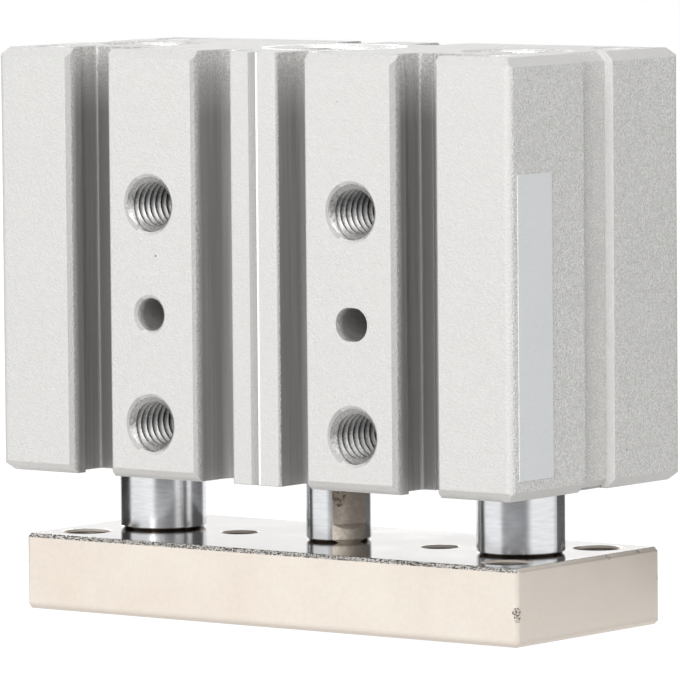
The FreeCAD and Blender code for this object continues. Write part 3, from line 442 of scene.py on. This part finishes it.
def tap_ridge(name, major, pitch, depth, countersink=0.0003):
    """One thread along Z from the mouth at z = 0 down to -depth, cut back by the countersink."""
    bpy.ops.object.select_all(action="DESELECT")
    minor = major / 2 - 0.541 * pitch
    root = major / 2 + 0.00004
    turns = int((depth - pitch) / pitch)
    start = -START_IN - turns * pitch
    bpy.ops.mesh.primitive_plane_add(size=1.0, location=((minor + root) / 2, 0, start),
                                     rotation=(math.pi / 2, 0, 0))
    ridge = bpy.context.active_object
    ridge.name = name
    ridge.scale = (root - minor, pitch * 0.80, 1.0)
    bpy.ops.object.transform_apply(location=True, rotation=True, scale=True)
    bpy.ops.object.mode_set(mode="EDIT")
    bpy.ops.mesh.select_mode(type="VERT")
    tooth = bmesh.from_edit_mesh(ridge.data)
    for corner in tooth.verts:
        corner.select = corner.co.x < (minor + root) / 2
    tooth.select_flush(True)
    bmesh.update_edit_mesh(ridge.data)
    bpy.ops.transform.resize(value=(1.0, 1.0, TIP_SHARE), center_override=(minor, 0, start))
    bpy.ops.mesh.select_all(action="SELECT")
    bpy.ops.mesh.delete(type="ONLY_FACE")
    bpy.ops.object.mode_set(mode="OBJECT")
    helix = ridge.modifiers.new("helix", "SCREW")
    helix.axis = "Z"
    helix.screw_offset = pitch
    helix.iterations = turns
    helix.steps = TURN_STEPS
    helix.render_steps = TURN_STEPS
    helix.use_merge_vertices = False
    bpy.ops.object.modifier_apply(modifier="helix")
    bpy.ops.object.mode_set(mode="EDIT")
    bpy.ops.mesh.select_all(action="DESELECT")
    bpy.ops.mesh.select_non_manifold(extend=False, use_wire=False, use_multi_face=False,
                                     use_non_contiguous=False, use_verts=False)
    bpy.ops.mesh.fill_holes(sides=4)
    bpy.ops.mesh.select_all(action="SELECT")
    bpy.ops.mesh.normals_make_consistent(inside=False)
    bpy.ops.object.mode_set(mode="OBJECT")
    for corner in ridge.data.vertices:
        reach = math.hypot(corner.co.x, corner.co.y)
        inside_mouth = corner.co.z + countersink
        cone = root + inside_mouth * (1 if inside_mouth > 0 else 3)
        if reach < cone:
            corner.co.x *= cone / reach
            corner.co.y *= cone / reach
        corner.co.z = min(corner.co.z, -START_IN)
    bpy.ops.object.shade_smooth_by_angle(angle=math.radians(35))
    return ridge


def put_threads(ridge, stem, places, material, body):
    """Copies of a ridge, put in place by their meshes so that the objects stay at the origin."""
    for number, place in enumerate(places, 1):
        thread = ridge.copy()
        thread.data = ridge.data.copy()
        thread.name = "%s_%d" % (stem, number)
        bpy.context.scene.collection.objects.link(thread)
        thread.data.transform(place)
        finish_with(material, thread)
        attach(thread, body)
    bpy.data.objects.remove(ridge)


bare_aluminium, tree, shader = new_material("tapped_aluminium", 0.9)
turning = use(tree, grain, Scale=5200.0)
cut = tint(tree, turning.outputs["Speckle"], (0.24, 0.236, 0.232), (0.42, 0.415, 0.41))
tree.links.new(cut, shader.inputs["Base Color"])
tree.links.new(level(tree, turning.outputs["Speckle"], 0.34, 0.48), shader.inputs["Roughness"])

to_front = Matrix.Rotation(math.pi / 2, 4, "X")
to_rear = Matrix.Rotation(-math.pi / 2, 4, "X")
put_threads(tap_ridge("m5_ridge", M5, M5_PITCH, 0.0098), "front_thread",
            [Matrix.Translation((x, front, z)) @ to_front
             for x in (-HOLE_X, HOLE_X) for z in hole_levels],
            bare_aluminium, "housing")
put_threads(tap_ridge("port_ridge", M5, M5_PITCH, 0.0044), "air_port_thread",
            [Matrix.Translation((PORT_X, rear, z)) @ to_rear for z in port_levels],
            bare_aluminium, "housing")
put_threads(tap_ridge("m4_ridge", M4, M4_PITCH, 0.0097), "upper_end_thread",
            [Matrix.Translation((x, y, upper_end))
             for x in (END_INSET - side, side - END_INSET) for y in (front + END_INSET, rear - END_INSET)],
            bare_aluminium, "housing")

# The film on the right side face: a strip of plain polyester, left blank, printed silver grey
# on the back and stuck on flat, with a faint gloss of its own.
film, tree, shader = new_material("plain_film", 0.0)
fleck = use(tree, grain, Scale=6000.0)
cloud = use(tree, blotches, Scale=160.0)
tone = tint(tree, fleck.outputs["Speckle"], (0.71, 0.735, 0.755), (0.76, 0.78, 0.80))
tone = tint(tree, level(tree, cloud.outputs["Fac"], 0.0, 0.3), tone, (0.77, 0.78, 0.79))
tree.links.new(tone, shader.inputs["Base Color"])
tree.links.new(level(tree, cloud.outputs["Fac"], 0.28, 0.40), shader.inputs["Roughness"])
bump = add(tree, "ShaderNodeBump", Height=cloud.outputs["Fac"],
           Distance=0.00003, Strength=0.25)
tree.links.new(bump.outputs[0], shader.inputs["Normal"])
finish_with(film, "side_film")

# The guide bushes: sintered bronze rings soaked in oil, pressed into the housing two to a rod.
bronze, tree, shader = new_material("sintered_bronze", 0.85)
pores = use(tree, grain, Scale=5000.0)
cloud = use(tree, blotches, Scale=300.0)
tone = tint(tree, pores.outputs["Speckle"], (0.30, 0.19, 0.09), (0.62, 0.43, 0.23))
tone = tint(tree, level(tree, cloud.outputs["Fac"], 0.0, 0.4), tone, (0.40, 0.28, 0.15))
tree.links.new(tone, shader.inputs["Base Color"])
tree.links.new(level(tree, pores.outputs["Speckle"], 0.5, 0.32), shader.inputs["Roughness"])
bump = add(tree, "ShaderNodeBump", Height=pores.outputs["Height"],
           Distance=0.00003, Strength=0.4)
tree.links.new(bump.outputs[0], shader.inputs["Normal"])
finish_with(bronze, "guide_bush_lower_left", "guide_bush_lower_right", "guide_bush_upper_left",
            "guide_bush_upper_right", "rod_bush")

# The rod collar, the head cover and the piston: turned from aluminium bar, so they carry the
# fine rings of the lathe tool, and are clear anodised.
turned, tree, shader = new_material("turned_aluminium", 0.8)
where = add(tree, "ShaderNodeTexCoord").outputs["Object"]
flat = add(tree, "ShaderNodeVectorMath", {"operation": "MULTIPLY"}, at0=where, at1=(1.0, 1.0, 0.0))
away = add(tree, "ShaderNodeVectorMath", {"operation": "LENGTH"}, at0=flat.outputs[0])
along = add(tree, "ShaderNodeSeparateXYZ", Vector=where)
rings = add(tree, "ShaderNodeCombineXYZ", X=away.outputs["Value"], Y=along.outputs["Z"])
cuts = add(tree, "ShaderNodeTexNoise", Vector=rings.outputs[0], Scale=9000.0, Detail=2.0)
tone = tint(tree, cuts.outputs["Fac"], (0.58, 0.58, 0.57), (0.80, 0.80, 0.79))
tree.links.new(tone, shader.inputs["Base Color"])
tree.links.new(level(tree, cuts.outputs["Fac"], 0.24, 0.42), shader.inputs["Roughness"])
edge = use(tree, wear, Radius=0.0001, Scale=2500.0)
bump = add(tree, "ShaderNodeBump", Height=cuts.outputs["Fac"], Normal=edge.outputs["Normal"],
           Distance=0.00002, Strength=0.5)
tree.links.new(bump.outputs[0], shader.inputs["Normal"])
finish_with(turned, "rod_collar", "head_cover", "piston")

# The seals, gaskets and bumpers: moulded nitrile and softer polyurethane, black and matt with
# a slight bloom, sprung or glued into their grooves.
rubber, tree, shader = new_material("black_rubber", 0.0)
bloom = use(tree, blotches, Scale=700.0)
fleck = use(tree, grain, Scale=7000.0)
tone = tint(tree, level(tree, bloom.outputs["Fac"], 0.0, 0.5), (0.012, 0.012, 0.013), (0.045, 0.044, 0.042))
tone = tint(tree, level(tree, fleck.outputs["Speckle"], 0.0, 0.15), tone, (0.07, 0.07, 0.07))
tree.links.new(tone, shader.inputs["Base Color"])
tree.links.new(level(tree, bloom.outputs["Fac"], 0.42, 0.62), shader.inputs["Roughness"])
finish_with(rubber, "rod_seal", "collar_gasket", "head_gasket", "piston_seal")

bumper_rubber, tree, shader = new_material("bumper_rubber", 0.0)
bloom = use(tree, blotches, Scale=500.0)
fleck = use(tree, grain, Scale=6000.0)
tone = tint(tree, bloom.outputs["Fac"], (0.17, 0.085, 0.035), (0.25, 0.13, 0.055))
tone = tint(tree, level(tree, fleck.outputs["Speckle"], 0.0, 0.2), tone, (0.33, 0.19, 0.09))
tree.links.new(tone, shader.inputs["Base Color"])
tree.links.new(level(tree, bloom.outputs["Fac"], 0.36, 0.5), shader.inputs["Roughness"])
finish_with(bumper_rubber, "collar_bumper", "piston_bumper")

# The retaining rings: punched from spring steel, phosphated dark grey, with two eyes for the
# pliers, and sprung into grooves in the bore.
spring, tree, shader = new_material("phosphated_spring_steel", 0.75)
grit = use(tree, grain, Scale=5200.0)
edge = use(tree, wear, Radius=0.0001, Scale=2500.0)
tone = tint(tree, grit.outputs["Speckle"], (0.05, 0.05, 0.052), (0.12, 0.12, 0.122))
tone = tint(tree, edge.outputs["Mask"], tone, (0.36, 0.36, 0.36))
tree.links.new(tone, shader.inputs["Base Color"])
tree.links.new(level(tree, grit.outputs["Speckle"], 0.36, 0.52), shader.inputs["Roughness"])
tree.links.new(edge.outputs["Normal"], shader.inputs["Normal"])
finish_with(spring, "collar_retaining_ring", "head_retaining_ring")

# The end plate: steel cut from flat bar, ground on its upper face, then plated with nickel.
# The ground face is nearly a mirror; the sides keep a satin skin with a warm tinge, and the
# long front edge has a rough burr that the plating went over, with painted dark reflection and
# painted glints along it.
plate_low, plate_high = (Vector(corner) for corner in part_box("end_plate"))
PLATE_THREADS = [(x, y) for x in (-0.024, 0.024) for y in (-0.007, 0.007)]
PLATE_PINS = ((-0.0115, 0.0), (0.0115, 0.0))
BURR = 0.00036
CHIPPED = 0.52
nickel, tree, shader = new_material("nickel_plate", 0.65)
where = add(tree, "ShaderNodeTexCoord").outputs["Object"]
place = add(tree, "ShaderNodeSeparateXYZ", Vector=where)
cloud = use(tree, blotches, Scale=110.0)
fleck = use(tree, grain, Scale=2600.0)
edge = use(tree, wear, Radius=0.00018, Scale=1800.0)
top = maths(tree, "GREATER_THAN", place.outputs["Z"], plate_high.z - 0.00003)
sides = tint(tree, cloud.outputs["Fac"], (0.745, 0.665, 0.585), (0.795, 0.735, 0.665))
sides = tint(tree, level(tree, fleck.outputs["Speckle"], 0.0, 0.25), sides, (0.90, 0.80, 0.68))
# The two end faces are painted darker than the long sides: painted shade on the ends.
end_face_shade = maths(tree, "GREATER_THAN", maths(tree, "ABSOLUTE", place.outputs["X"]), plate_high.x - 0.0001)
sides = tint(tree, level(tree, end_face_shade, 0.0, 0.45), sides, (0.55, 0.50, 0.45))
sides = tint(tree, level(tree, edge.outputs["Mask"], 0.0, 0.6), sides, (0.95, 0.92, 0.88))
# A painted contact shadow: a darker band along the foot of the plate's sides.
contact_shadow_band = ramp(tree, place.outputs["Z"], 0.0007, 0.0002)
sides = tint(tree, maths(tree, "MULTIPLY", contact_shadow_band, 0.55), sides, (0.50, 0.44, 0.39))
ground = tint(tree, cloud.outputs["Fac"], (0.60, 0.58, 0.56), (0.68, 0.66, 0.64))
tone = tint(tree, top, sides, ground)
# Along the long front top edge: a rough burr with real lumps in its bump; its dark pits are partly painted
# reflection of the rounded edge, and its white flecks are painted glints.
burr_front = maths(tree, "LESS_THAN", place.outputs["Y"], plate_low.y + BURR)
burr_high = maths(tree, "GREATER_THAN", place.outputs["Z"], plate_high.z - BURR)
burr_with_painted_reflection = maths(tree, "MULTIPLY", burr_front, burr_high)
chip_and_glint_noise = add(tree, "ShaderNodeTexNoise", Vector=where, Scale=6500.0, Detail=3.0, Roughness=0.7)
burr_pits_and_dark_reflection = maths(tree, "MULTIPLY", maths(tree, "GREATER_THAN", chip_and_glint_noise.outputs["Fac"], CHIPPED), burr_with_painted_reflection)
tone = tint(tree, burr_pits_and_dark_reflection, tone, (0.035, 0.032, 0.03))
painted_burr_glints = maths(tree, "MULTIPLY", maths(tree, "LESS_THAN", chip_and_glint_noise.outputs["Fac"], 0.48), burr_with_painted_reflection)
tone = tint(tree, painted_burr_glints, tone, (1.0, 0.98, 0.95))
# The hole walls and a thin ring round each mouth are painted dark: painted shade in the holes.
holes = either(tree, [use(tree, round_area, Centre=(x, y, 0.0), Radius=radius).outputs[0]
                      for spots, radius in ((PLATE_THREADS, 0.00208), (PLATE_PINS, 0.00158))
                      for x, y in spots])
tone = tint(tree, holes, tone, (0.16, 0.145, 0.13))
knocks = either(tree, [
    use(tree, round_area, Centre=(plate_high.x, y, z), Plane=(1.0, 1.0, 1.0), Radius=size).outputs[0]
    for y, z, size in ((-0.011, 0.0031, 0.00055), (-0.0109, 0.0026, 0.0004), (0.0109, 0.0042, 0.0004),
                       (0.0031, 0.0069, 0.00035), (0.0078, 0.0069, 0.0003))])
knocks = maths(tree, "MULTIPLY", knocks, maths(tree, "GREATER_THAN", chip_and_glint_noise.outputs["Fac"], CHIPPED))
tone = tint(tree, knocks, tone, (0.12, 0.11, 0.10))
tree.links.new(tone, shader.inputs["Base Color"])
satin = level(tree, cloud.outputs["Fac"], 0.30, 0.42)
mirror = level(tree, cloud.outputs["Fac"], 0.07, 0.13)
gloss = add(tree, "ShaderNodeMix", at0=top, at2=satin, at3=mirror)
tree.links.new(gloss.outputs[0], shader.inputs["Roughness"])
tree.links.new(level(tree, top, 0.65, 1.0), shader.inputs["Metallic"])
lumps = maths(tree, "MULTIPLY", chip_and_glint_noise.outputs["Fac"], maths(tree, "MAXIMUM", burr_with_painted_reflection, knocks))
bump = add(tree, "ShaderNodeBump", Height=lumps, Normal=edge.outputs["Normal"],
           Distance=0.00024, Strength=1.0)
skin_bump = add(tree, "ShaderNodeBump", Height=fleck.outputs["Height"], Normal=bump.outputs[0],
                Distance=0.00002, Strength=0.3)
tree.links.new(skin_bump.outputs[0], shader.inputs["Normal"])
finish_with(nickel, "end_plate")

put_threads(tap_ridge("m4_ridge", M4, M4_PITCH, 0.0068), "plate_thread",
            [Matrix.Translation((x, y, plate_high.z - 0.0001)) for x, y in PLATE_THREADS],
            nickel, "slide")

# The guide rods and the piston rod: ground steel bar with hard chrome, polished, with the
# faintest rings of grinding round them. The wrench flats on the piston rod are milled after
# plating, so they are bare steel, brown with a little rust.
FOOT_RING = 0.0002
CHROME_TONES = ((0.66, 0.67, 0.69), (0.74, 0.75, 0.77))
FOOT_SHADE = (0.14, 0.12, 0.10)
chrome, tree, shader = new_material("hard_chrome", 1.0)
where = add(tree, "ShaderNodeTexCoord").outputs["Object"]
place = add(tree, "ShaderNodeSeparateXYZ", Vector=where)
polish = use(tree, grain, Scale=4000.0, Stretch=(0.15, 0.15, 1.0))
cloud = use(tree, blotches, Scale=400.0)
foot = maths(tree, "LESS_THAN", place.outputs["Z"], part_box("guide_rod_left")[0][2] + FOOT_RING)
tone = tint(tree, foot, tint(tree, polish.outputs["Speckle"], *CHROME_TONES), FOOT_SHADE)
tree.links.new(tone, shader.inputs["Base Color"])
tree.links.new(level(tree, cloud.outputs["Fac"], 0.15, 0.22), shader.inputs["Roughness"])
bump = add(tree, "ShaderNodeBump", Height=polish.outputs["Height"],
           Distance=0.000004, Strength=0.4)
tree.links.new(bump.outputs[0], shader.inputs["Normal"])
finish_with(chrome, "guide_rod_left", "guide_rod_right")

rod_steel, tree, shader = new_material("chromed_piston_rod", 1.0)
where = add(tree, "ShaderNodeTexCoord").outputs["Object"]
place = add(tree, "ShaderNodeSeparateXYZ", Vector=where)
polish = use(tree, grain, Scale=4000.0, Stretch=(0.15, 0.15, 1.0))
grit = use(tree, grain, Scale=2600.0)
cloud = use(tree, blotches, Scale=700.0)
rod_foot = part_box("piston_rod")[0][2]
foot = maths(tree, "LESS_THAN", place.outputs["Z"], rod_foot + FOOT_RING)
flat_turn = math.radians(60.0)
facing = (math.sin(flat_turn), -math.cos(flat_turn), 0.0)
towards = add(tree, "ShaderNodeVectorMath", {"operation": "DOT_PRODUCT"}, at0=where, at1=facing)
beyond = maths(tree, "GREATER_THAN", maths(tree, "ABSOLUTE", towards.outputs["Value"]), 0.00249)
high = maths(tree, "LESS_THAN", place.outputs["Z"], rod_foot + 0.0067)
flats = maths(tree, "MULTIPLY", beyond, high)
tone = tint(tree, foot, tint(tree, polish.outputs["Speckle"], *CHROME_TONES), FOOT_SHADE)
milled = tint(tree, grit.outputs["Speckle"], (0.56, 0.50, 0.42), (0.76, 0.70, 0.62))
milled = tint(tree, level(tree, cloud.outputs["Fac"], 0.0, 0.35), milled, (0.34, 0.27, 0.20))
aside = add(tree, "ShaderNodeVectorMath", {"operation": "DOT_PRODUCT"}, at0=where,
            at1=(math.cos(flat_turn), math.sin(flat_turn), 0.0))
shade_side = ramp(tree, aside.outputs["Value"], -0.0005, 0.0003)
milled = tint(tree, maths(tree, "MULTIPLY", shade_side, 0.6), milled, (0.30, 0.26, 0.23))
spot = use(tree, round_area, Centre=(0.00166, -0.00212, 0.0116), Plane=(1.0, 1.0, 0.6), Radius=0.0008)
rust = maths(tree, "MULTIPLY", spot.outputs[0], level(tree, grit.outputs["Speckle"], -0.25, 0.95), True)
milled = tint(tree, rust, milled, (0.14, 0.08, 0.045))
tone = tint(tree, flats, tone, milled)
tree.links.new(tone, shader.inputs["Base Color"])
tree.links.new(level(tree, flats, 0.18, 0.55), shader.inputs["Roughness"])
tree.links.new(level(tree, flats, 1.0, 0.6), shader.inputs["Metallic"])
bump = add(tree, "ShaderNodeBump", Height=maths(tree, "MULTIPLY", grit.outputs["Height"], flats),
           Distance=0.00008, Strength=0.6)
tree.links.new(bump.outputs[0], shader.inputs["Normal"])
finish_with(rod_steel, "piston_rod")

# The rods' screws: alloy steel socket screws, blackened, that come up through the plate from
# below, their heads sunk in it.
blackened, tree, shader = new_material("blackened_steel", 0.7)
grit = use(tree, grain, Scale=4500.0)
edge = use(tree, wear, Radius=0.00012, Scale=2500.0)
tone = tint(tree, grit.outputs["Speckle"], (0.018, 0.018, 0.020), (0.045, 0.044, 0.046))
tone = tint(tree, level(tree, edge.outputs["Mask"], 0.0, 0.7), tone, (0.22, 0.21, 0.20))
tree.links.new(tone, shader.inputs["Base Color"])
tree.links.new(level(tree, grit.outputs["Speckle"], 0.30, 0.46), shader.inputs["Roughness"])
tree.links.new(edge.outputs["Normal"], shader.inputs["Normal"])
finish_with(blackened, "guide_rod_screw_left", "guide_rod_screw_right", "piston_rod_screw")

# The piston magnet: a ring of bonded ferrite, dark grey and slightly grainy.
ferrite, tree, shader = new_material("bonded_ferrite", 0.0)
grit = use(tree, grain, Scale=4200.0)
tone = tint(tree, grit.outputs["Speckle"], (0.035, 0.034, 0.034), (0.10, 0.098, 0.095))
tree.links.new(tone, shader.inputs["Base Color"])
tree.links.new(level(tree, grit.outputs["Speckle"], 0.55, 0.7), shader.inputs["Roughness"])
finish_with(ferrite, "piston_magnet")
